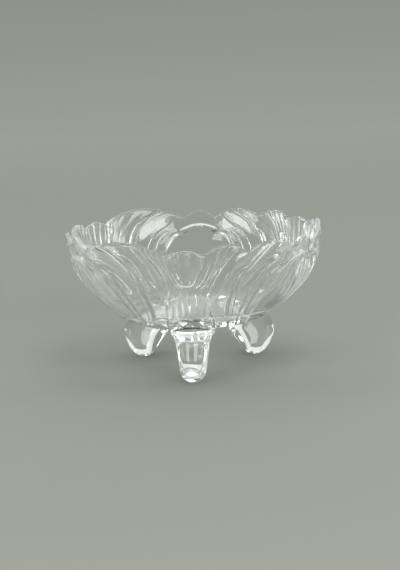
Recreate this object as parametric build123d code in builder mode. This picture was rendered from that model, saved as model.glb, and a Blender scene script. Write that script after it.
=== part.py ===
from build123d import *

import os
from math import cos, radians, sin

# Clear glass bowl with a scalloped rim, standing on three splayed glass feet.
# Millimetres, +Z up, table at z = 0, bowl axis on Z, front foot towards -Y.
# Angles run in degrees from -Y towards +X. The bowl repeats itself every third of a turn.

# Driving sizes of the bowl
rim_radius = 76.0
rim_height = 85.0
base_radius = 42.0
base_height = 30.0
wall = 6.0
lip = 2.8
floor_thickness = 6.0
inner_floor_radius = 35.0
wall_fullness = 2.55
rim_flare = 0.12
petal_swing = 0.8
petal_sway = 0.6
petal_belly = 1.0
flute_depth = 0.9
panel_depth = 2.0
edge_share = 0.35

# Arrises of the wall, in degrees each side of the foot and of the leaf between two feet
stem_base = 18.0
stem_waist = 9.3
stem_spread = 2.0
leaf_base = 29.0
leaf_belly = 13.9
leaf_draw = 8.5
blade_base = 23.5
blade_belly = 12.3
blade_draw = 12.0

# Driving sizes of the feet and of the flat seats that carry them
foot_count = 3
seat_drop = 3.0
seat_radius = 31.6
seat_length = 37.0
seat_width = 25.0
seat_ledge = 1.0
boss_depth = 9.0
pad_radius = 39.6
pad_length = 7.0
pad_width = 9.0
sole_radius = 40.3
sole_length = 12.8
sole_width = 12.4
sole_height = 2.4
toe_radius = 40.7
toe_length = 20.0
toe_width = 14.6
toe_height = 7.2
ankle_radius = 38.9
ankle_length = 28.6
ankle_width = 17.0
ankle_height = 15.0
calf_radius = 35.2
calf_length = 31.8
calf_width = 20.4
calf_height = 21.5

# Scallops of one third of the rim, from the one above a foot: where each one starts,
# the level of its crown and the level of the notch where it starts, both from the rim height
third = 360.0 / foot_count
scallops = [
    (-7.5, -2.0, -5.0),
    (7.5, 0.0, -5.0),
    (28.0, 0.0, -4.5),
    (52.5, -1.5, -6.5),
    (67.5, 2.0, -6.5),
    (112.5, -2.0, -5.0),
]

# Heights that follow from the driving sizes
seat_height = base_height - seat_drop
bowl_depth = rim_height - base_height
crown_height = rim_height + max(crown for _, crown, _ in scallops)
headroom = 3.0
blank_height = crown_height + headroom
section_count = 9
panel_steps = 4


def share(height):
    """Part of the way from the underside to the rim, no more than the whole."""
    return min(1.0, (height - base_height) / bowl_depth)


def outer_radius(angle, height):
    """Radius of the arrises on the outside of the wall."""
    rise = share(height)
    swell = 1.0 - (1.0 - rise) ** wall_fullness
    spread = rim_flare * rise + (1.0 - rim_flare) * swell
    belly = 4.0 * rise * (1.0 - rise)
    swing = (petal_swing * rise + petal_sway * belly) * sin(radians(foot_count * angle))
    return base_radius + (rim_radius - base_radius) * spread + petal_belly * belly - swing


def around(angle, radius):
    """Point in a level plane at an angle from the front foot."""
    return (radius * sin(radians(angle)), -radius * cos(radians(angle)))


def panels(height):
    """Panels between the arrises over one third of the wall: start, end and hollow.

    A stem stands above each foot. Between two feet stands a leaf, which is
    pointed below, widest half way up and drawn in again at the rim.
    """
    rise = share(height)
    belly = sin(radians(180.0 * rise))
    stem = stem_base - stem_waist * belly + stem_spread * rise
    axis = 0.5 * third
    leaf = leaf_base + leaf_belly * belly - leaf_draw * rise
    blade = blade_base + blade_belly * belly - blade_draw * rise
    lines = [
        -stem,
        stem,
        axis - leaf,
        axis - blade,
        axis + blade,
        axis + leaf,
        third - stem,
    ]
    hollows = [0.0, panel_depth, flute_depth, 0.0, flute_depth, panel_depth]
    # Deepest half way up, shallower at the underside and at the rim
    sunk = edge_share + (1.0 - edge_share) * belly
    return [(lines[i], lines[i + 1], sunk * hollows[i]) for i in range(len(hollows))]


def panel_points(turn, start, end, hollow, height):
    """Points across one panel, from arris to arris, hollowed like a flute."""
    points = []
    for step in range(panel_steps + 1):
        across = step / panel_steps
        angle = turn + start + (end - start) * across
        sunk = 4.0 * hollow * across * (1.0 - across)
        points.append(around(angle, outer_radius(angle, height) - sunk))
    return points


def radial_plane(angle, radius, height):
    """Upright plane across the radius, X along the rim and Y up."""
    x, y = around(angle, radius)
    outward = around(angle, 1.0)
    return Plane(origin=(x, y, height), x_dir=(-outward[1], outward[0], 0), z_dir=(*outward, 0))


def level_plane(angle, radius, height):
    """Level plane at a foot, its X pointing outwards."""
    x, y = around(angle, radius)
    return Plane((x, y, height), x_dir=(*around(angle, 1.0), 0))


os.makedirs("parts", exist_ok=True)
foot_angles = {
    "foot_front": 0.0,
    "foot_rear_right": third,
    "foot_rear_left": -third,
}

# Glass above the rim: a ring over the wall, arched over every scallop
reach = rim_radius + headroom
lowest_notch = rim_height + min(notch for _, _, notch in scallops)
with BuildPart() as rim_waste:
    ring_foot = lowest_notch - headroom
    with BuildSketch(Plane.XY.offset(ring_foot)):
        Circle(reach + headroom)
        Circle(0.5 * rim_radius, mode=Mode.SUBTRACT)
    extrude(amount=blank_height + headroom - ring_foot)
    for turn in range(foot_count):
        for (start, crown, notch), (end, _, next_notch) in zip(scallops, scallops[1:]):
            half_width = reach * sin(radians(0.5 * (end - start)))
            under = ring_foot - headroom - rim_height
            with BuildSketch(radial_plane(turn * third + 0.5 * (start + end), 0.0, rim_height)):
                with BuildLine():
                    left = (-half_width, notch)
                    right = (half_width, next_notch)
                    ThreePointArc(left, (0, crown), right)
                    Polyline(right, (half_width, under), (-half_width, under), left)
                make_face()
            extrude(amount=reach + 2.0 * headroom, mode=Mode.SUBTRACT)

# Bowl: fluted outside, three bosses for the feet, smooth turned inside, scalloped rim
with BuildPart() as bowl:
    for step in range(section_count + 1):
        level = base_height + (blank_height - base_height) * step / section_count
        with BuildSketch(Plane.XY.offset(level)):
            with BuildLine():
                for turn in range(foot_count):
                    for start, end, hollow in panels(level):
                        Spline(*panel_points(turn * third, start, end, hollow, level))
            make_face()
    loft()

    for angle in foot_angles.values():
        with BuildSketch(level_plane(angle, seat_radius, seat_height)):
            Ellipse(0.5 * seat_length, 0.5 * seat_width)
        extrude(amount=boss_depth)

    inner_floor = base_height + floor_thickness
    with BuildSketch(Plane.XZ):
        with BuildLine():
            inner_wall = []
            for step in range(section_count + 1):
                rise = step / section_count
                level = inner_floor + (blank_height - inner_floor) * rise
                thickness = wall + (lip - wall) * rise
                inner_wall.append((outer_radius(0.0, level) - thickness, level))
            inner_wall[0] = (inner_floor_radius, inner_floor)
            Polyline((0, inner_floor), inner_wall[0])
            Spline(*inner_wall)
            top = (inner_wall[-1][0], blank_height + headroom)
            Polyline(inner_wall[-1], top, (0, top[1]), (0, inner_floor))
        make_face()
    revolve(axis=Axis.Z, mode=Mode.SUBTRACT)
    add(rim_waste.part, mode=Mode.SUBTRACT)

bowl.part.label = "bowl"
export_step(bowl.part, "parts/bowl.step")

# Feet: thumb-shaped, splayed, with a flat top on the seat and a small flat pad below
foot_sections = [
    (pad_radius, 0.0, pad_length, pad_width),
    (sole_radius, sole_height, sole_length, sole_width),
    (toe_radius, toe_height, toe_length, toe_width),
    (ankle_radius, ankle_height, ankle_length, ankle_width),
    (calf_radius, calf_height, calf_length, calf_width),
    (seat_radius, seat_height, seat_length - 2.0 * seat_ledge, seat_width - 2.0 * seat_ledge),
]
for name, angle in foot_angles.items():
    with BuildPart() as foot:
        for radius, level, length, width in foot_sections:
            with BuildSketch(level_plane(angle, radius, level)):
                Ellipse(0.5 * length, 0.5 * width)
        loft()
    foot.part.label = name
    export_step(foot.part, f"parts/{name}.step")
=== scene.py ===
import logging
import math
from dataclasses import dataclass
from enum import Enum, IntEnum

import bpy
import numpy as np
from mathutils import Matrix, Vector


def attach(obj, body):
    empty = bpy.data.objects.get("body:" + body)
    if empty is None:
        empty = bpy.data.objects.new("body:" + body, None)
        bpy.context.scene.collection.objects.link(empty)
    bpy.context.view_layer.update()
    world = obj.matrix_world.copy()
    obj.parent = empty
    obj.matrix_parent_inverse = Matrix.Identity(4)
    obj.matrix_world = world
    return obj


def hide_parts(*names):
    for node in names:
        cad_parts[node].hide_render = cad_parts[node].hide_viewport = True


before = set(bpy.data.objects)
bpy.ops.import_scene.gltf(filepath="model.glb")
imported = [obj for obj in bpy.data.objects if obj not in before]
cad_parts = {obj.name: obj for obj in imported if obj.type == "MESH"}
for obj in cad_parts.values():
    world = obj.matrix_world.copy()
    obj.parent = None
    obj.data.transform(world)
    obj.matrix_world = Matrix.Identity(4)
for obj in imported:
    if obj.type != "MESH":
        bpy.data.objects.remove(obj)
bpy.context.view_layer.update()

# Clear pressed-glass bowl: fluted petals, scalloped rim, three splayed feet.
# Sizes are in millimetres and become metres where a mesh is made. Angles are in degrees,
# from the front foot (-Y) towards +X, and heights run up from the table.

log = logging.getLogger("petal_bowl")
MM = 0.001
IMAGE_HEIGHT = 570.0
# How much of a bevel is a flat slope; the rest rounds its corners
BEVEL_FLATNESS = 0.75
# Colour sockets of a mix node, whose names are shared by its other types
MIX_FIRST, MIX_SECOND, MIXED = 6, 7, 2


def linear(code: str) -> tuple[float, float, float, float]:
    """Turn an sRGB hex colour into linear values.

    Args:
        code: Six hex digits after a hash sign.

    Returns:
        Linear red, green, blue and full alpha.
    """
    shares = [int(code[i : i + 2], 16) / 255.0 for i in (1, 3, 5)]
    return tuple(s / 12.92 if s <= 0.04045 else ((s + 0.055) / 1.055) ** 2.4 for s in shares) + (1.0,)


def add_node(
    tree: bpy.types.NodeTree, kind: str, settings: dict | None = None, inputs: dict | None = None
) -> bpy.types.Node:
    """Add a node with its settings, and give its inputs a value or a link.

    Args:
        tree: Tree that gets the node.
        kind: Blender's type name of the node.
        settings: Values of the node's own properties.
        inputs: For each input's name or number, a value or the output socket that feeds it.

    Returns:
        The new node.
    """
    node = tree.nodes.new(kind)
    for name, value in (settings or {}).items():
        setattr(node, name, value)
    for name, value in (inputs or {}).items():
        if isinstance(value, bpy.types.NodeSocket):
            tree.links.new(value, node.inputs[name])
        else:
            node.inputs[name].default_value = value
    return node


def eased(low: float, high: float | np.ndarray, value: np.ndarray) -> np.ndarray:
    """Rise smoothly from 0 at the low value to 1 at the high one."""
    share = np.clip((value - low) / (high - low), 0.0, 1.0)
    return share * share * (3.0 - 2.0 * share)


def bevelled(share: np.ndarray) -> np.ndarray:
    """Rise from 0 at an edge to 1 at the end of its bevel, with the corners a little rounded."""
    return BEVEL_FLATNESS * np.clip(share, 0.0, 1.0) + (1.0 - BEVEL_FLATNESS) * eased(0.0, 1.0, share)


def waved(count: float, share: np.ndarray) -> np.ndarray:
    """Rise from 0 to 1 and fall again, a number of times across a strip."""
    return 0.5 - 0.5 * np.cos(math.tau * count * share)


@dataclass(frozen=True)
class Guide:
    """A size that changes smoothly with height, given at a few heights."""

    knots: tuple[tuple[float, float], ...]

    def at(self, heights: np.ndarray) -> np.ndarray:
        """Read the size at some heights.

        Args:
            heights: Heights in millimetres.

        Returns:
            The size at each height, held level beyond the first and last knot.
        """
        x, y = (np.array(column, float) for column in zip(*sorted(self.knots)))
        secant = np.diff(y) / np.diff(x)
        slope = np.concatenate(([secant[0]], 0.5 * (secant[1:] + secant[:-1]), [secant[-1]]))
        # No swing past the knots where the size turns back
        turned = np.concatenate(([False], secant[1:] * secant[:-1] <= 0.0, [False]))
        slope[turned] = 0.0
        h = np.clip(np.asarray(heights, float), x[0], x[-1])
        i = np.clip(np.searchsorted(x, h) - 1, 0, len(x) - 2)
        run = x[i + 1] - x[i]
        t = (h - x[i]) / run
        bend = (2 * t**3 - 3 * t**2 + 1) * y[i] + (3 * t**2 - 2 * t**3) * y[i + 1]
        return bend + run * ((t**3 - 2 * t**2 + t) * slope[i] + (t**3 - t**2) * slope[i + 1])


class StemSide(Enum):
    """The two flanks of the stem above a foot."""

    RIBBED = "ribbed"
    PLAIN = "plain"


class WallLine(IntEnum):
    """Places of the lines in a half third of the wall, counted from a foot's axis.

    The three lines between the tongue and the stem's edge are ribs and have no names.
    """

    FOOT_AXIS = 0
    TONGUE = 1
    STEM = 5
    PANEL = 6
    LEAF_EDGE = 7
    BEAD = 8
    VEIN = 9
    NOTCH = 10
    WINDOW = 11
    LEAF_AXIS = 12


@dataclass(frozen=True)
class Scallop:
    """One lobe of the rim, with levels counted from the rim height."""

    start: float
    end: float
    crown: float
    notch_before: float
    notch_after: float

    def level(self, angles: np.ndarray) -> np.ndarray:
        """Work out the lobe's edge.

        Args:
            angles: Angles between the lobe's start and its end.

        Returns:
            The height of the edge over the rim height at each angle.
        """
        share = np.clip((angles - self.start) / (self.end - self.start), 0.0, 1.0)
        foot = self.notch_before + (self.notch_after - self.notch_before) * share
        rise = self.crown - 0.5 * (self.notch_before + self.notch_after)
        return foot + rise * 4.0 * share * (1.0 - share)


@dataclass(frozen=True)
class PressedGlass:
    """Fire-polished clear pressed glass."""

    name: str = "fire_polished_pressed_glass"
    tint: str = "#FBFDFC"
    ior: float = 1.52
    ripple_mm: float = 11.0
    ripple_depth_mm: float = 0.006
    ripple_detail: float = 2.0
    ripple_roughness: float = 0.45
    haze: float = 0.006
    haze_from: float = 0.55
    haze_to: float = 0.8

    def material(self) -> bpy.types.Material:
        """Make the glass.

        Returns:
            Clear glass with the slow ripple that the mould leaves and faintly duller patches.
        """
        # Pressed in an iron mould and flame-polished: brilliant and clear, with soft waves in
        # the skin that break up reflections, and a very slight haze in places
        made = bpy.data.materials.new(self.name)
        made.use_nodes = True
        tree = made.node_tree
        tree.nodes.clear()
        place = add_node(tree, "ShaderNodeTexCoord")
        wave = add_node(
            tree,
            "ShaderNodeTexNoise",
            {"noise_dimensions": "3D"},
            {
                "Vector": place.outputs["Object"],
                "Scale": 1.0 / (self.ripple_mm * MM),
                "Detail": self.ripple_detail,
                "Roughness": self.ripple_roughness,
            },
        )
        bump = add_node(
            tree,
            "ShaderNodeBump",
            None,
            {"Strength": 1.0, "Distance": self.ripple_depth_mm * MM, "Height": wave.outputs["Fac"]},
        )
        dull = add_node(
            tree,
            "ShaderNodeMapRange",
            None,
            {
                "Value": wave.outputs["Fac"],
                "From Min": self.haze_from,
                "From Max": self.haze_to,
                "To Min": 0.0,
                "To Max": self.haze,
            },
        )
        glass = add_node(
            tree,
            "ShaderNodeBsdfPrincipled",
            None,
            {
                "Base Color": linear(self.tint),
                "IOR": self.ior,
                "Transmission Weight": 1.0,
                "Roughness": dull.outputs["Result"],
                "Normal": bump.outputs["Normal"],
            },
        )
        add_node(tree, "ShaderNodeOutputMaterial", None, {"Surface": glass.outputs["BSDF"]})
        return made


@dataclass(frozen=True)
class StudioPaper:
    """Matt grey background paper."""

    name: str = "matt_grey_paper"
    # The far colour is painted light: paler only to make up for the lamps' light falling off towards the
    # back
    near: str = "#949790"
    far: str = "#C2C5BE"
    fade_from: float = -0.2
    fade_to: float = 1.6
    roughness: float = 0.95
    gloss: float = 0.1

    def material(self) -> bpy.types.Material:
        """Make the paper.

        Returns:
            An even matt grey, painted paler towards the back to make up for the lamps' light, which falls
            off there.
        """
        # Matt paper under soft light: no gloss, so it only gives the bowl an even ground
        made = bpy.data.materials.new(self.name)
        made.use_nodes = True
        tree = made.node_tree
        tree.nodes.clear()
        place = add_node(tree, "ShaderNodeTexCoord")
        axes = add_node(tree, "ShaderNodeSeparateXYZ", None, {"Vector": place.outputs["Object"]})
        # Painted light: the paper turns paler further back, making up for the lamps' light that falls off
        # with distance
        back = add_node(
            tree,
            "ShaderNodeMapRange",
            None,
            {"Value": axes.outputs["Y"], "From Min": self.fade_from, "From Max": self.fade_to},
        )
        shade = add_node(
            tree,
            "ShaderNodeMix",
            {"data_type": "RGBA"},
            {"Factor": back.outputs["Result"], MIX_FIRST: linear(self.near), MIX_SECOND: linear(self.far)},
        )
        paper = add_node(
            tree,
            "ShaderNodeBsdfPrincipled",
            None,
            {
                "Base Color": shade.outputs[MIXED],
                "Roughness": self.roughness,
                "Specular IOR Level": self.gloss,
            },
        )
        add_node(tree, "ShaderNodeOutputMaterial", None, {"Surface": paper.outputs["BSDF"]})
        return made


def plain_mesh(name: str, points: np.ndarray, faces: list[tuple[int, ...]]) -> bpy.types.Object:
    """Make an object at the origin from points in millimetres.

    Args:
        name: Name of the object and of its mesh.
        points: One row for each point.
        faces: Point numbers round each face, seen from outside.

    Returns:
        The object, linked to the scene, with smooth faces.
    """
    mesh = bpy.data.meshes.new(name)
    mesh.from_pydata((np.asarray(points) * MM).tolist(), [], faces)
    mesh.polygons.foreach_set("use_smooth", [True] * len(mesh.polygons))
    mesh.update()
    made = bpy.data.objects.new(name, mesh)
    bpy.context.scene.collection.objects.link(made)
    return made


def skin_faces(rows: int, columns: int, closed: bool) -> list[tuple[int, ...]]:
    """Number the faces of a skin of rows between two poles.

    Args:
        rows: How many rows of points lie between the first point and the last, which are the poles.
        columns: Points in each row.
        closed: Whether each row's end joins its start.

    Returns:
        Point numbers round each face, seen from outside.
    """
    faces: list[tuple[int, ...]] = []
    top = 1 + (rows - 1) * columns
    for c in range(columns if closed else columns - 1):
        n = (c + 1) % columns
        faces.append((0, 1 + n, 1 + c))
        for low in range(1, top, columns):
            faces.append((low + c, low + n, low + columns + n, low + columns + c))
        faces.append((top + c, top + n, top + columns))
    return faces


@dataclass
class WallGrid:
    """Rows and columns of points on a half third of the wall."""

    # Angle of every line by row, and of every point by row and column
    lines: list[np.ndarray]
    angle: np.ndarray
    # Number of the line before each column
    owners: np.ndarray
    # Height by row as if the rim were level, and true height by row and column
    heights: np.ndarray
    level: np.ndarray
    # Millimetres to a degree, by row
    around: np.ndarray

    def across(self, first: int, last: int) -> tuple[np.ndarray, np.ndarray]:
        """Find the columns between two lines.

        Args:
            first: Number of the line where they start.
            last: Number of the line where they end.

        Returns:
            Which columns they are, and how far across each of their points lies.
        """
        within = (self.owners >= first) & (self.owners < last)
        start, end = self.lines[first][:, None], self.lines[last][:, None]
        return within, np.clip((self.angle[:, within] - start) / (end - start), 0.0, 1.0)

    def width(self, first: int, last: int) -> np.ndarray:
        """Distance between two lines in millimetres, by row."""
        return (self.lines[last] - self.lines[first]) * self.around


@dataclass
class FlutedBowl:
    """The bowl: a fluted wall with a scalloped rim, a thick floor and a smooth inside."""

    rim_radius: float = 76.0
    rim_height: float = 85.0
    base_radius: float = 42.0
    base_height: float = 30.0
    wall: float = 6.0
    lip: float = 3.1
    floor_thickness: float = 6.0
    inner_floor_radius: float = 35.0
    wall_fullness: float = 2.55
    rim_flare: float = 0.12
    petal_swing: float = 0.8
    petal_sway: float = 0.6
    petal_belly: float = 1.0
    corner_rise: float = 4.5
    corner_draw: float = 6.0
    thirds: int = 3
    wall_rows: int = 86
    lip_rows: int = 8
    inner_rows: int = 50
    floor_rows: int = 5
    profile_points: int = 400
    outline_points: int = 160
    row_crowding: float = 1.15
    column_crowding: float = 0.75
    seam_mm: float = 0.01
    # A notch is softened by mixing the levels a little way to either side: shifts and weights
    notch_softness: float = 0.7
    notch_blend: tuple[tuple[float, float], ...] = ((-1.0, 0.25), (0.0, 0.5), (1.0, 0.25))
    # Part of the way up the wall where its rows start to follow the scallops
    pull_start: float = 0.5
    lip_squareness: float = 0.7
    # How far each strip swells inside, and the heights where that rises and where it ends on the leaf
    inner_swell: float = 0.6
    swell_rise: tuple[float, float] = (56.0, 66.0)
    swell_end: tuple[float, float] = (76.0, 68.0)
    # On the plain side the leaf's edge leans a little towards the stem
    plain_lean: float = 1.3
    lean_rise: tuple[float, float] = (32.0, 46.0)
    # Where the plain panel is parted: heights, and shares of its width
    panel_heights: tuple[float, float] = (70.0, 85.0)
    panel_shares: tuple[float, float] = (0.45, 0.325)
    # Lobes of one third of the rim, from the small one above a foot
    scallops: tuple[Scallop, ...] = (
        Scallop(-7.5, 7.5, -2.0, -5.0, -5.0),
        Scallop(7.5, 28.0, 0.0, -5.0, -4.5),
        Scallop(28.0, 52.5, 0.0, -4.5, -6.5),
        Scallop(52.5, 67.5, -1.5, -6.5, -6.5),
        Scallop(67.5, 112.5, 2.0, -6.5, -5.0),
        Scallop(112.5, 127.5, -2.0, -5.0, -5.0),
    )
    # Lines of the stem above a foot, in degrees either side of its axis, by height
    tongue: Guide = Guide(
        ((62.6, 0), (62.8, 1.4), (63.5, 2.7), (65, 3.9), (68, 4.9), (72, 5.9),
         (76, 6.7), (80, 7.3), (85, 7.5))
    )
    ribbed_stem: Guide = Guide(
        ((30, 18), (35, 15.3), (40, 13), (45.5, 11), (50, 10.3), (54.5, 10.3), (59, 10.7),
         (63.5, 11.4), (68.5, 12.8), (72.5, 14.8), (76.5, 17), (81.5, 20), (85, 22.2))
    )
    plain_stem: Guide = Guide(
        ((30, 17.5), (35, 14.8), (40, 12.5), (45.5, 10.7), (50, 9.6), (55, 8.8), (59, 8.4),
         (64, 8.6), (69.5, 9.6), (73.5, 10.9), (78, 12.9), (80.5, 14.9), (85, 18.0))
    )
    # Lines of the leaf between two feet, in degrees either side of its axis, by height
    leaf_edge: Guide = Guide(
        ((30, 29), (32, 31), (36, 34.5), (40, 36.8), (44, 38.2), (48, 38.9), (52, 39), (56, 38.8),
         (60, 38.4), (64, 37.6), (68, 36.3), (72, 34.3), (75, 32.2), (80, 27), (85, 20))
    )
    bead_width: float = 2.4
    leaf_vein: Guide = Guide(
        ((30, 23.4), (32, 25.6), (36, 28.4), (40, 30.2), (44, 31), (48, 31), (52, 30.7), (56, 30),
         (60, 28.8), (64, 27), (68, 24.5), (72, 20.8), (75, 17.5), (80, 14), (85, 11.5))
    )
    leaf_notch: Guide = Guide(
        ((30, 20.4), (36, 25.4), (44, 27.3), (52, 26.7), (60, 24), (64, 21.8), (68, 18.8),
         (72, 14.6), (75, 11), (80, 8.4), (85, 7.5))
    )
    window: Guide = Guide(
        ((30, 18), (32, 19.8), (36, 22), (40, 23.2), (44, 23.6), (48, 23.2), (52, 22.0), (56, 20.4),
         (60, 18.4), (63, 16.8), (66.5, 14.9), (69, 12.9), (71, 10.7), (72.5, 8.6), (73.5, 6.6),
         (74.3, 4.6), (74.8, 2.6), (75, 0))
    )
    # Heights where the tongue's and the window's outlines close on their axes
    tongue_tip: float = 62.6
    window_tip: float = 75.0
    # Least half width of their columns of points, in degrees
    least_width: float = 1.0
    # How far the tongue stands out, and the depths of the steps between the strips, by height
    tongue_height: Guide = Guide(((62, 1.7), (72, 1.6), (80, 0.7), (85, 0)))
    rib_depth: Guide = Guide(((54, 0), (62, 0.5), (70, 1.0), (80, 1.0), (85, 0.7)))
    flank_depth: Guide = Guide(((50, 0), (58, 0.5), (66, 1.1), (76, 1.3), (85, 0.9)))
    panel_depth: Guide = Guide(((30, 0.6), (36, 1.1), (44, 1.4), (55, 1.5), (68, 1.4), (78, 1.1), (85, 0.6)))
    bead_depth: Guide = Guide(((30, 0.2), (36, 0.4), (50, 0.6), (72, 0.6), (78, 0.4), (81, 0.2), (85, 0.1)))
    vein_depth: Guide = Guide(((30, 0.4), (36, 0.8), (50, 1.1), (68, 1.0), (75, 0.6), (79, 0.3), (85, 0.1)))
    blade_depth: Guide = Guide(((30, 0.3), (36, 0.6), (50, 0.9), (66, 0.7), (71, 0.4), (75, 0.1), (85, 0.1)))
    window_depth: Guide = Guide(((30, 0.4), (36, 1.0), (46, 1.6), (85, 1.6)))
    # Ribs of the tongue and streaks of the stem under it, counted from the axis to the edge
    tongue_rib_depth: Guide = Guide(((63, 0), (66, 0.8), (76, 0.9), (85, 0.5)))
    tongue_ribs: float = 1.5
    streak_depth: Guide = Guide(((36, 0), (46, 0.35), (56, 0.35), (66, 0)))
    stem_streaks: int = 3
    # Width of a steep step and the most of its strip that it takes, slope of a step that rises again,
    # and widths of the bevels
    step_mm: float = 1.2
    widest_step: float = 0.5
    step_slope: float = 0.95
    arch_mm: float = 2.1
    tongue_mm: float = 1.3
    # Places of the ribs between the tongue and the stem's edge
    rib_shares: tuple[float, ...] = (0.26, 0.52, 0.77)
    # Columns of points from each line to the next
    columns: tuple[int, ...] = (13, 6, 6, 6, 6, 10, 9, 8, 11, 9, 10, 13)
    node: str = "bowl"

    @property
    def inner_floor(self) -> float:
        """Height of the floor inside the bowl."""
        return self.base_height + self.floor_thickness

    def outer_radius(self, angles: np.ndarray, heights: np.ndarray) -> np.ndarray:
        """Radius of the wall's arrises.

        Args:
            angles: Angles round the bowl.
            heights: Heights in millimetres.

        Returns:
            The radius at each angle and height.
        """
        rise = np.clip((heights - self.base_height) / (self.rim_height - self.base_height), 0.0, 1.0)
        swell = 1.0 - (1.0 - rise) ** self.wall_fullness
        spread = self.rim_flare * rise + (1.0 - self.rim_flare) * swell
        belly = 4.0 * rise * (1.0 - rise)
        swing = self.petal_swing * rise + self.petal_sway * belly
        lean = swing * np.sin(np.radians(self.thirds * angles))
        # The wall turns into the underside in a round corner
        down = np.clip(1.0 - (heights - self.base_height) / self.corner_rise, 0.0, 1.0)
        corner = self.corner_draw * (1.0 - np.sqrt(1.0 - down**2))
        reach = (self.rim_radius - self.base_radius) * spread + self.petal_belly * belly
        return self.base_radius + reach - lean - corner

    def inner_radius(self, heights: np.ndarray) -> np.ndarray:
        """Radius of the smooth inside, rounded where it meets the floor.

        Args:
            heights: Heights in millimetres.

        Returns:
            The radius at each height.
        """
        above = heights - self.inner_floor
        rise = above / (self.rim_height - self.inner_floor)
        corner = np.clip(1.0 - above / self.floor_thickness, 0.0, 1.0)
        outside = self.outer_radius(np.zeros_like(heights), heights)
        straight = outside - self.wall - (self.lip - self.wall) * rise
        start = float(self.outer_radius(np.zeros(1), np.array([self.inner_floor]))[0]) - self.wall
        return straight - (start - self.inner_floor_radius) * corner**2

    def surface_height(self, radii: np.ndarray) -> np.ndarray:
        """Height of the bowl's underside above a foot, at some radii."""
        heights = np.linspace(self.base_height, self.rim_height, self.profile_points)
        return np.interp(radii, self.outer_radius(np.zeros_like(heights), heights), heights)

    def rim_level(self, angles: np.ndarray) -> np.ndarray:
        """Height of the scalloped edge, its notches softened by the flame.

        Args:
            angles: Angles round the bowl.

        Returns:
            The height of the edge at each angle.
        """
        third = 360.0 / self.thirds
        first = self.scallops[0].start
        total = np.zeros_like(angles)
        for shift, weight in self.notch_blend:
            turned = np.mod(angles + shift * self.notch_softness - first, third) + first
            level = np.zeros_like(angles)
            for lobe in self.scallops[:-1]:
                within = (turned >= lobe.start) & (turned <= lobe.end)
                level[within] = lobe.level(turned[within])
            total += weight * level
        return self.rim_height + total

    def half_lines(self, heights: np.ndarray, side: StemSide) -> list[np.ndarray]:
        """Lines from a foot's axis to the leaf's axis, in degrees from the foot.

        Args:
            heights: Heights in millimetres.
            side: Which flank of the stem the half third has.

        Returns:
            The angle of each line at each height.
        """
        leaf_axis = 180.0 / self.thirds
        stem = (self.ribbed_stem if side is StemSide.RIBBED else self.plain_stem).at(heights)
        tongue = np.maximum(self.tongue.at(heights), self.least_width)
        ribs = [tongue + (stem - tongue) * share for share in self.rib_shares]
        lean = self.plain_lean * eased(*self.lean_rise, heights) if side is StemSide.PLAIN else 0.0
        edge = leaf_axis - self.leaf_edge.at(heights) - lean
        # The notch between two lobes stands above the middle of the plain panel
        panel = stem + (edge - stem) * np.interp(heights, self.panel_heights, self.panel_shares)
        inner = [leaf_axis - guide.at(heights) for guide in (self.leaf_vein, self.leaf_notch)]
        window = leaf_axis - np.maximum(self.window.at(heights), self.least_width)
        foot_axis, far_axis = np.zeros_like(heights), np.full_like(heights, leaf_axis)
        bead = edge + self.bead_width
        return [foot_axis, tongue, *ribs, stem, panel, edge, bead, *inner, window, far_axis]

    def basin(
        self,
        outline: Guide,
        tip: float,
        end: float,
        border: float,
        offset: np.ndarray,
        heights: np.ndarray,
    ) -> np.ndarray:
        """Shape of a level panel with a bevelled border that follows a rounded outline.

        Args:
            outline: Half width of the panel in degrees, by height.
            tip: Height where the outline closes on the panel's axis.
            end: Height of the panel's other, open end.
            border: Width of the bevel in millimetres.
            offset: Degrees from the panel's axis, by row and column.
            heights: True heights, by row and column.

        Returns:
            From 0 on the outline and outside it to 1 on the level middle, by row and column.
        """
        degree = np.radians(1.0)
        # Closer together at the tip, where the outline turns
        levels = tip + (end - tip) * np.linspace(0.0, 1.0, self.outline_points) ** 2
        edge = outline.at(levels) * degree * self.outer_radius(np.zeros_like(levels), levels)
        place = offset * degree * self.outer_radius(np.zeros_like(heights), heights)
        gap = np.hypot(place[:, :, None] - edge, heights[:, :, None] - levels).min(axis=2)
        inside = (offset < outline.at(heights)) & ((heights - tip) * (end - tip) > 0.0)
        return np.where(inside, bevelled(gap / border), 0.0)

    def wall_grid(self, heights: np.ndarray, side: StemSide) -> WallGrid:
        """Lay out the points of a half third of the wall, the rows near the rim pulled to the scallops.

        Args:
            heights: Height of each row as if the rim were level.
            side: Which flank of the stem the half third has.

        Returns:
            The points, before any strip is sunk.
        """
        lines = self.half_lines(heights, side)
        angles, owners = [], []
        for i, count in enumerate(self.columns):
            for k in range(count):
                # Closer together near the arrises
                even = k / count
                turned = 0.5 * self.column_crowding * (1.0 - math.cos(math.pi * even))
                share = (1.0 - self.column_crowding) * even + turned
                angles.append(lines[i] + (lines[i + 1] - lines[i]) * share)
                owners.append(i)
        angles.append(lines[-1])
        owners.append(len(self.columns) - 1)
        angle = np.stack(angles, axis=1)
        edge = self.rim_level(angle if side is StemSide.RIBBED else -angle) - 0.5 * self.lip
        rise = (heights - self.base_height) / (self.rim_height - self.base_height)
        level = heights[:, None] + (edge - self.rim_height) * eased(self.pull_start, 1.0, rise)[:, None]
        around = np.radians(1.0) * self.outer_radius(np.zeros_like(heights), heights)
        return WallGrid(lines, angle, np.array(owners), heights, level, around)

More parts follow.
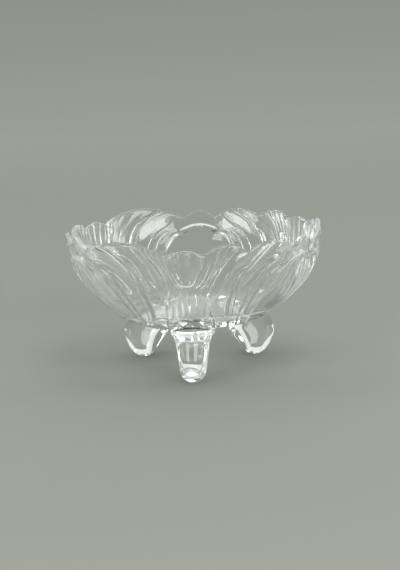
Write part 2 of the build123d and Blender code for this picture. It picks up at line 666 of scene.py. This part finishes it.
    def strip_depth(self, grid: WallGrid, side: StemSide) -> np.ndarray:
        """Sink the strips of the wall, which meet in steps.

        Args:
            grid: Points of a half third of the wall.
            side: Which flank of the stem the half third has.

        Returns:
            The depth under the arrises, by row and column.
        """
        depth = np.zeros_like(grid.angle)
        if side is StemSide.RIBBED:
            petals = [(i, i + 1, self.rib_depth) for i in range(WallLine.TONGUE, WallLine.STEM)]
        else:
            petals = [(WallLine.TONGUE, WallLine.STEM, self.flank_depth)]
        petals.append((WallLine.STEM, WallLine.LEAF_EDGE, self.panel_depth))
        # Strips beside the stem lie under one another like petals, with a steep step at their first line
        for first, last, guide in petals:
            within, share = grid.across(first, last)
            deep = guide.at(grid.heights)
            width = grid.width(first, last)
            steep = np.minimum(self.widest_step, self.step_mm / width)[:, None]
            depth[:, within] = eased(0.0, steep, share) * deep[:, None]
            if last < WallLine.LEAF_EDGE:
                depth[:, within] *= 1.0 - share
            else:
                depth[:, within] *= bevelled((1.0 - share) / (deep / self.step_slope / width)[:, None])
        # Strips of the leaf sink slowly and rise again in a step at their last line
        for first, last, guide in (
            (WallLine.LEAF_EDGE, WallLine.BEAD, self.bead_depth),
            (WallLine.BEAD, WallLine.VEIN, self.vein_depth),
            (WallLine.VEIN, WallLine.NOTCH, self.blade_depth),
        ):
            within, share = grid.across(first, last)
            deep = guide.at(grid.heights)
            step = (deep / self.step_slope / grid.width(first, last))[:, None]
            depth[:, within] = deep[:, None] * share * bevelled((1.0 - share) / step)
        return depth

    def press_panels(self, grid: WallGrid, depth: np.ndarray) -> None:
        """Press the window into the leaf, raise the tongue and draw the streaks under it.

        Args:
            grid: Points of a half third of the wall.
            depth: Depth under the arrises, by row and column, which is changed.
        """
        within = grid.owners >= WallLine.VEIN
        offset = grid.lines[WallLine.LEAF_AXIS][:, None] - grid.angle[:, within]
        level = grid.level[:, within]
        arch = self.basin(self.window, self.window_tip, self.base_height, self.arch_mm, offset, level)
        sunk = arch * self.window_depth.at(grid.heights)[:, None]
        depth[:, within] = np.maximum(depth[:, within], sunk)
        within, share = grid.across(WallLine.FOOT_AXIS, WallLine.TONGUE)
        offset, level = grid.angle[:, within], grid.level[:, within]
        raised = self.basin(self.tongue, self.tongue_tip, self.rim_height, self.tongue_mm, offset, level)
        ribs = waved(self.tongue_ribs, share) * self.tongue_rib_depth.at(grid.heights)[:, None]
        depth[:, within] = ribs - raised * self.tongue_height.at(grid.heights)[:, None]
        within, share = grid.across(WallLine.FOOT_AXIS, WallLine.STEM)
        depth[:, within] += waved(self.stem_streaks, share) * self.streak_depth.at(grid.heights)[:, None]

    def inside_swell(self, grid: WallGrid) -> np.ndarray:
        """Let every strip swell a little inside, so that it breaks a reflection into streaks.

        Args:
            grid: Points of a half third of the wall.

        Returns:
            How far the inside swells, by row and column.
        """
        swell = np.zeros_like(grid.angle)
        for first in range(WallLine.TONGUE, WallLine.WINDOW):
            within, share = grid.across(first, first + 1)
            fade = eased(*self.swell_rise, grid.heights)
            # None on the leaf above its window
            if first >= WallLine.VEIN:
                fade *= eased(*self.swell_end, grid.heights)
            swell[:, within] = 4.0 * share * (1.0 - share) * self.inner_swell * fade[:, None]
        return swell

    def half_wall(self, heights: np.ndarray, side: StemSide) -> tuple[np.ndarray, ...]:
        """Shape a half third of the wall.

        Args:
            heights: Height of each row as if the rim were level.
            side: Which flank of the stem the half third has.

        Returns:
            The angle from the foot's axis, the depth under the arrises, the swell of the inside and the
            true height, by row and column.
        """
        grid = self.wall_grid(heights, side)
        depth = self.strip_depth(grid, side)
        self.press_panels(grid, depth)
        return grid.angle, depth, self.inside_swell(grid), grid.level

    def third_wall(self, nominal: np.ndarray) -> tuple[np.ndarray, ...]:
        """Columns of a third of the wall.

        Args:
            nominal: Height of each row as if the rim were level.

        Returns:
            The angle, the depth under the arrises, the swell of the inside and the height, by row and
            column.
        """
        near = self.half_wall(nominal, StemSide.RIBBED)
        far = self.half_wall(nominal, StemSide.PLAIN)
        angle = np.concatenate((near[0], 360.0 / self.thirds - far[0][:, -2::-1]), axis=1)
        return angle, *(np.concatenate((a, b[:, -2::-1]), axis=1) for a, b in zip(near[1:], far[1:]))

    def third_rows(self) -> list[tuple[np.ndarray, ...]]:
        """Work out the rows of one third of the bowl, from its underside over the lip to its floor.

        Returns:
            The angle, radius and height of the points in each row.
        """
        # Rows lie closer together at the round corner of the underside
        rise = np.linspace(0.0, 1.0, self.wall_rows + 1) ** self.row_crowding
        nominal = self.base_height + (self.rim_height - self.base_height) * rise
        angle, depth, _, height = self.third_wall(nominal)
        radius = self.outer_radius(angle, height) - depth
        rows = []
        for k in range(self.floor_rows):
            share = (k + 1.0) / (self.floor_rows + 1.0)
            rows.append((angle[0], radius[0] * share, np.full_like(angle[0], self.base_height)))
        rows.extend(zip(angle, radius, height))
        fall = np.linspace(1.0, 0.0, self.inner_rows + 1) ** self.row_crowding
        nominal = self.inner_floor + (self.rim_height - self.inner_floor) * fall
        in_angle, _, swell, in_height = self.third_wall(nominal)
        in_radius = self.inner_radius(in_height) - swell
        # Rounded lip
        middle, half = 0.5 * (radius[-1] + in_radius[0]), 0.5 * (radius[-1] - in_radius[0])
        for k in range(1, self.lip_rows):
            turn = math.pi * k / self.lip_rows
            out = math.copysign(abs(math.cos(turn)) ** self.lip_squareness, math.cos(turn))
            lip_height = height[-1] + 0.5 * self.lip * math.sin(turn) ** self.lip_squareness
            rows.append((angle[-1], middle + half * out, lip_height))
        rows.extend(zip(in_angle, in_radius, in_height))
        for k in range(self.floor_rows):
            share = 1.0 - (k + 1.0) / (self.floor_rows + 1.0)
            rows.append((in_angle[-1], in_radius[-1] * share, in_height[-1]))
        return rows

    def third_mesh(self) -> bpy.types.Object:
        """Build one third of the bowl, from the middle of its underside to the middle of its floor.

        Returns:
            An open piece that closes when it is repeated round the axis.
        """
        rows = self.third_rows()
        columns = len(rows[0][0])
        points = [(0.0, 0.0, self.base_height)]
        for angle, radius, height in rows:
            turn = np.radians(angle)
            points.extend(zip(radius * np.sin(turn), -radius * np.cos(turn), height))
        points.append((0.0, 0.0, self.inner_floor))
        return plain_mesh("bowl_glass", np.array(points), skin_faces(len(rows), columns, closed=False))

    def ring_tree(self) -> tuple[bpy.types.GeometryNodeTree, dict[str, str]]:
        """Make the node tree that repeats a third of the bowl round its axis.

        Returns:
            The tree, and the identifier of each of its named inputs.
        """
        tree = bpy.data.node_groups.new("petal_ring", "GeometryNodeTree")
        sockets = (
            ("Third", "NodeSocketGeometry"),
            ("Count", "NodeSocketInt"),
            ("Seam", "NodeSocketFloat"),
            ("Glass", "NodeSocketMaterial"),
        )
        names = {}
        for name, kind in sockets:
            names[name] = tree.interface.new_socket(name, in_out="INPUT", socket_type=kind).identifier
        tree.interface.new_socket("Bowl", in_out="OUTPUT", socket_type="NodeSocketGeometry")
        given = add_node(tree, "NodeGroupInput").outputs
        places = add_node(
            tree, "GeometryNodeMeshLine", None, {"Count": given["Count"], "Offset": (0.0, 0.0, 0.0)}
        )
        number = add_node(tree, "GeometryNodeInputIndex")
        step = add_node(tree, "ShaderNodeMath", {"operation": "DIVIDE"}, {0: math.tau, 1: given["Count"]})
        turn = add_node(
            tree,
            "ShaderNodeMath",
            {"operation": "MULTIPLY"},
            {0: step.outputs[0], 1: number.outputs["Index"]},
        )
        about = add_node(tree, "ShaderNodeCombineXYZ", None, {"Z": turn.outputs[0]})
        rotation = add_node(tree, "FunctionNodeEulerToRotation", None, {"Euler": about.outputs["Vector"]})
        copies = add_node(
            tree,
            "GeometryNodeInstanceOnPoints",
            None,
            {
                "Points": places.outputs["Mesh"],
                "Instance": given["Third"],
                "Rotation": rotation.outputs["Rotation"],
            },
        )
        real = add_node(
            tree, "GeometryNodeRealizeInstances", None, {"Geometry": copies.outputs["Instances"]}
        )
        joined = add_node(
            tree,
            "GeometryNodeMergeByDistance",
            None,
            {"Geometry": real.outputs["Geometry"], "Distance": given["Seam"]},
        )
        dressed = add_node(
            tree,
            "GeometryNodeSetMaterial",
            None,
            {"Geometry": joined.outputs["Geometry"], "Material": given["Glass"]},
        )
        add_node(tree, "NodeGroupOutput", None, {"Bowl": dressed.outputs["Geometry"]})
        return tree, names

    def build(self, glass: bpy.types.Material) -> bpy.types.Object:
        """Build the bowl and put it in its node's place.

        Args:
            glass: Material of the bowl.

        Returns:
            The finished bowl.
        """
        piece = self.third_mesh()
        tree, names = self.ring_tree()
        ring = piece.modifiers.new("petal_ring", "NODES")
        ring.node_group = tree
        ring[names["Count"]] = self.thirds
        ring[names["Seam"]] = self.seam_mm * MM
        ring[names["Glass"]] = glass
        seen = piece.evaluated_get(bpy.context.evaluated_depsgraph_get())
        whole = bpy.data.meshes.new_from_object(seen)
        piece.modifiers.remove(ring)
        piece.data = whole
        whole.name = piece.name
        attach(piece, "root")
        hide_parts(self.node)
        return piece


@dataclass
class GlassFoot:
    """A solid glass foot, thumb-shaped and splayed, with a collar against the bowl."""

    node: str
    angle: float
    bowl: FlutedBowl
    sunk: float = 0.6
    around: int = 56
    rows: int = 36
    crowding: float = 1.7
    # Radius of the middle, half length and half width by height, from the pad up to the collar
    middle: Guide = Guide(
        ((0, 39.5), (2.4, 40.4), (5, 40.8), (7.2, 40.8), (11, 40.3), (15, 39.0), (18.5, 37.1),
         (21.5, 35.2), (24, 33.6), (25.8, 32.5), (27, 31.6), (27.6, 31.6))
    )
    half_length: Guide = Guide(
        ((0, 1.2), (0.3, 3.1), (1, 4.6), (2.4, 6.3), (4.4, 8.1), (7.2, 10.1), (11, 12.6), (15, 14.5),
         (18.5, 15.4), (21.5, 15.9), (24, 16.4), (25.8, 16.9), (26.5, 17.5), (27, 18.3), (27.6, 18.6))
    )
    half_width: Guide = Guide(
        ((0, 1.2), (0.3, 2.9), (1, 4.3), (2.4, 5.75), (4.4, 6.85), (7.2, 7.6), (11, 8.2), (15, 8.8),
         (18.5, 9.4), (21.5, 10.0), (24, 10.6), (25.8, 11.2), (26.5, 11.7), (27, 12.3), (27.6, 12.6))
    )
    collar_height: float = 27.6
    calf_height: float = 21.5
    collar_waves: int = 9
    wave_depth: float = 0.2
    # Rings from the collar up to the bowl's skin, and from there in to the middle
    neck_shares: tuple[float, ...] = (0.3, 0.6, 0.85, 1.0)
    cap_shares: tuple[float, ...] = (0.8, 0.55, 0.3, 0.12)

    def place(self, along: np.ndarray, across: np.ndarray, height: np.ndarray) -> np.ndarray:
        """Turn distances from the bowl's axis into points at the foot's angle.

        Args:
            along: Distances outward from the axis.
            across: Distances sideways.
            height: Distances up from the table.

        Returns:
            One row for each point.
        """
        turn = math.radians(self.angle)
        x = along * math.sin(turn) + across * math.cos(turn)
        y = -along * math.cos(turn) + across * math.sin(turn)
        return np.stack([x, y, height], axis=1)

    def rings(self) -> list[np.ndarray]:
        """Work out the rings of points from the pad to the top, which lies in the bowl's skin.

        Returns:
            Radial, sideways and upward distances for each ring.
        """
        turn = np.linspace(0.0, math.tau, self.around, endpoint=False)
        made = []
        levels = self.collar_height * np.linspace(0.0, 1.0, self.rows) ** self.crowding
        sizes = (guide.at(levels) for guide in (self.middle, self.half_length, self.half_width))
        # The glass that ran out when the foot was joined left the collar a little wavy
        waves = self.wave_depth * np.cos(self.collar_waves * turn)
        swells = eased(self.calf_height, self.collar_height, levels)
        for level, middle, length, width, swell in zip(levels, *sizes, swells):
            along = middle + (length + waves * swell) * np.cos(turn)
            across = (width + waves * swell) * np.sin(turn)
            made.append(np.stack([along, across, np.full_like(turn, level)], axis=1))
        collar = made[-1]
        skin = self.bowl.surface_height(np.hypot(collar[:, 0], collar[:, 1])) + self.sunk
        for share in self.neck_shares:
            ring = collar.copy()
            ring[:, 2] += (skin - collar[:, 2]) * share
            made.append(ring)
        rim = made[-1]
        centre = rim.mean(axis=0)
        for share in self.cap_shares:
            inward = centre + (rim - centre) * share
            inward[:, 2] = self.bowl.surface_height(np.hypot(inward[:, 0], inward[:, 1])) + self.sunk
            made.append(inward)
        return made

    def build(self, glass: bpy.types.Material) -> bpy.types.Object:
        """Build the foot and put it in its node's place.

        Args:
            glass: Material of the foot.

        Returns:
            The finished foot.
        """
        rings = self.rings()
        points = [np.array([[rings[0][:, 0].mean(), 0.0, 0.0]])] + rings
        middle = rings[-1].mean(axis=0)
        middle[2] = float(self.bowl.surface_height(np.array([middle[0]]))[0]) + self.sunk
        points.append(middle[None, :])
        local = np.concatenate(points)
        placed = self.place(local[:, 0], local[:, 1], local[:, 2])
        piece = plain_mesh(f"{self.node}_glass", placed, skin_faces(len(rings), self.around, closed=True))
        piece.data.materials.append(glass)
        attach(piece, "root")
        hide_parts(self.node)
        return piece


@dataclass(frozen=True)
class Softbox:
    """A rectangular studio lamp that points at the bowl."""

    name: str
    place: tuple[float, float, float]
    width: float
    height: float
    power: float
    colour: str = "#FFFFFF"

    def build(self, aim: tuple[float, float, float]) -> bpy.types.Object:
        """Hang the lamp and turn it to a point.

        Args:
            aim: Point in metres that the lamp faces.

        Returns:
            The lamp.
        """
        lamp = bpy.data.lights.new(self.name, "AREA")
        lamp.shape = "RECTANGLE"
        lamp.size = self.width
        lamp.size_y = self.height
        lamp.energy = self.power
        lamp.color = linear(self.colour)[:3]
        made = bpy.data.objects.new(self.name, lamp)
        made.location = self.place
        made.rotation_euler = (Vector(aim) - Vector(self.place)).to_track_quat("-Z", "Y").to_euler()
        bpy.context.scene.collection.objects.link(made)
        return made


@dataclass
class Studio:
    """Grey paper sweep, soft lamps and the camera."""

    # Sizes of the paper and places of the lamps are in metres, the turn of the sweep in degrees
    paper_half: float = 0.6
    paper_spread: float = 0.14
    paper_front: float = -0.8
    sweep_start: float = 1.2
    sweep_radius: float = 6.0
    sweep_turn: float = 24.0
    sweep_steps: int = 16
    # Colours of the tent and of the dim room behind the camera, and the directions where they mix
    tent: str = "#F2F4F0"
    room: str = "#8A8D86"
    tent_from: float = -0.4
    tent_to: float = 0.35
    aim: tuple[float, float, float] = (0.0, 0.0, 0.05)
    # Camera found from the rim and the feet: distances in millimetres, angles in degrees
    focal_pixels: float = 1137.0
    distance: float = 686.0
    elevation: float = 11.9
    azimuth: float = 3.54
    roll: float = 2.27
    target_side: float = 3.16
    target_height: float = 48.57
    sensor_mm: float = 36.0
    # Nearest and farthest distance that the camera sees, in metres
    near_clip: float = 0.01
    far_clip: float = 50.0
    # Light crosses many glass surfaces before it reaches the paper
    glass_bounces: int = 32
    mirror_bounces: int = 16
    lamps: tuple[Softbox, ...] = (
        Softbox("right_softbox", (0.61, -0.75, 0.33), 0.54, 0.6, 5.6),
        Softbox("left_softbox", (-0.65, -0.72, 0.31), 0.5, 0.54, 4.7),
        Softbox("right_panel", (1.05, 0.04, 0.30), 0.25, 0.3, 1.5),
        Softbox("left_panel", (-1.04, 0.15, 0.28), 0.25, 0.3, 1.5),
        Softbox("top_softbox", (0.3, -0.35, 1.1), 0.48, 0.48, 1.5),
        Softbox("right_card", (0.40, 0.0, 0.09), 0.16, 0.14, 0.12),
        Softbox("left_card", (-0.40, 0.0, 0.09), 0.16, 0.14, 0.12),
    )

    def build_sweep(self, paper: bpy.types.Material) -> bpy.types.Object:
        """Lay the paper on the floor and up behind the bowl in one curve.

        Args:
            paper: Material of the paper.

        Returns:
            The paper, which isn't part of the bowl.
        """
        line = [(self.paper_front, 0.0), (self.sweep_start, 0.0)]
        for k in range(1, self.sweep_steps + 1):
            turn = math.radians(self.sweep_turn) * k / self.sweep_steps
            back = self.sweep_start + self.sweep_radius * math.sin(turn)
            line.append((back, self.sweep_radius * (1.0 - math.cos(turn))))
        points = []
        for y, z in line:
            side = self.paper_half + self.paper_spread * max(0.0, y)
            points.extend(((-side, y, z), (side, y, z)))
        faces = [(2 * i, 2 * i + 1, 2 * i + 3, 2 * i + 2) for i in range(len(line) - 1)]
        sweep = plain_mesh("paper_sweep", np.array(points) / MM, faces)
        sweep.data.materials.append(paper)
        return sweep

    def build_room(self) -> None:
        """Set the white tent round the paper, open towards the dim room behind the camera."""
        world = bpy.data.worlds.new("light_tent")
        bpy.context.scene.world = world
        world.use_nodes = True
        tree = world.node_tree
        tree.nodes.clear()
        place = add_node(tree, "ShaderNodeTexCoord")
        axes = add_node(tree, "ShaderNodeSeparateXYZ", None, {"Vector": place.outputs["Generated"]})
        cloth = add_node(
            tree,
            "ShaderNodeMapRange",
            {"interpolation_type": "SMOOTHSTEP"},
            {"Value": axes.outputs["Y"], "From Min": self.tent_from, "From Max": self.tent_to},
        )
        shade = add_node(
            tree,
            "ShaderNodeMix",
            {"data_type": "RGBA"},
            {"Factor": cloth.outputs["Result"], MIX_FIRST: linear(self.room), MIX_SECOND: linear(self.tent)},
        )
        walls = add_node(tree, "ShaderNodeBackground", None, {"Color": shade.outputs[MIXED]})
        add_node(tree, "ShaderNodeOutputWorld", None, {"Surface": walls.outputs["Background"]})

    def build_camera(self) -> bpy.types.Object:
        """Stand the camera where the photograph was taken.

        Returns:
            The camera, which the scene uses.
        """
        turn, tip, roll = (math.radians(a) for a in (self.azimuth, self.elevation, self.roll))
        back = Vector((math.sin(turn) * math.cos(tip), -math.cos(turn) * math.cos(tip), math.sin(tip)))
        right = Vector((math.cos(turn), math.sin(turn), 0.0))
        up = back.cross(right)
        target = (Vector((0.0, 0.0, self.target_height)) + right * self.target_side) * MM
        across = right * math.cos(roll) - up * math.sin(roll)
        upright = right * math.sin(roll) + up * math.cos(roll)
        view = bpy.data.cameras.new("photo_camera")
        view.sensor_fit = "VERTICAL"
        view.sensor_height = self.sensor_mm
        view.lens = view.sensor_height * self.focal_pixels / IMAGE_HEIGHT
        view.clip_start = self.near_clip
        view.clip_end = self.far_clip
        made = bpy.data.objects.new("photo_camera", view)
        stand = Matrix((across, upright, back)).transposed().to_4x4()
        stand.translation = target + back * self.distance * MM
        made.matrix_world = stand
        bpy.context.scene.collection.objects.link(made)
        bpy.context.scene.camera = made
        return made

    def build(self) -> None:
        """Set up the paper, the room, the lamps and the camera."""
        self.build_camera()
        self.build_sweep(StudioPaper().material())
        self.build_room()
        for lamp in self.lamps:
            lamp.build(self.aim)
        scene = bpy.context.scene
        scene.view_settings.view_transform = "Standard"
        scene.cycles.max_bounces = self.glass_bounces
        scene.cycles.transmission_bounces = self.glass_bounces
        scene.cycles.glossy_bounces = self.mirror_bounces


def main() -> None:
    """Build the studio, the bowl and its feet."""
    logging.basicConfig(level=logging.INFO, format="%(name)s: %(message)s")
    Studio().build()
    glass = PressedGlass().material()
    bowl = FlutedBowl()
    pieces = [bowl.build(glass)]
    third = 360.0 / bowl.thirds
    for node, angle in (("foot_front", 0.0), ("foot_rear_right", third), ("foot_rear_left", -third)):
        pieces.append(GlassFoot(node, angle, bowl).build(glass))
    for piece in pieces:
        log.info("%s: %d faces", piece.name, len(piece.data.polygons))


if __name__ == "__main__":
    main()
